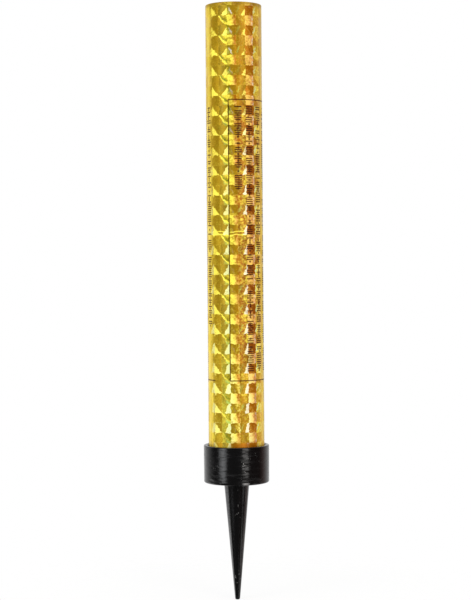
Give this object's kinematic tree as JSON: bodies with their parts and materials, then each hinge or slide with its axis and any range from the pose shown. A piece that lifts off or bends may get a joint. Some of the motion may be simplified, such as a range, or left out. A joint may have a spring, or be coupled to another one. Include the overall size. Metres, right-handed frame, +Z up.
{
  "type": "cake fountain sparkler",
  "caption": "Slim round cake fountain: a foil-wrapped paper case with its load and a tucked-in fuse, push-fitted in a black cup that ends in a spike for the cake.",
  "frame": {"origin": "centre of the cup's underside, the face that comes down on the cake", "axes": "+Z up along the case, so the spike points along -Z; the film's seam is at the back, towards +Y; +X to the right seen from the front"},
  "size_m": [0.0168, 0.0168, 0.1519],
  "materials": {
    "black_plastic": "glossy black moulded plastic with faint ripples and scuffs",
    "kraft_paper": "matt wound kraft paper",
    "gold_film": "mirror-bright gold metallised film with a prismatic square mosaic",
    "pressed_clay": "matt pressed clay",
    "grey_card": "matt punched card",
    "spark_mix": "grey metal powder in a fibrous mixture",
    "prime_mix": "matt dark grain",
    "tissue": "soft crumpled tissue",
    "green_thread": "wound and lacquered thread",
    "black_powder": "matt black grain"
  },
  "bodies": {
    "base": {"spike_base": "black_plastic"},
    "case": {"case_tube": "kraft_paper", "foil_wrap": "gold_film", "end_plug": "pressed_clay", "divider_disc": "grey_card", "spark_charge": "spark_mix", "prime_pellet": "prime_mix", "choke_ring": "pressed_clay", "fuse_wad": "tissue", "fuse_jacket": "green_thread", "fuse_core": "black_powder"}
  },
  "joints": [
    {"name": "case_pull_out", "type": "slide", "parent": "base", "child": "case", "axis": [0, 0, 1], "range_m": [0, 0.012]}
  ]
}
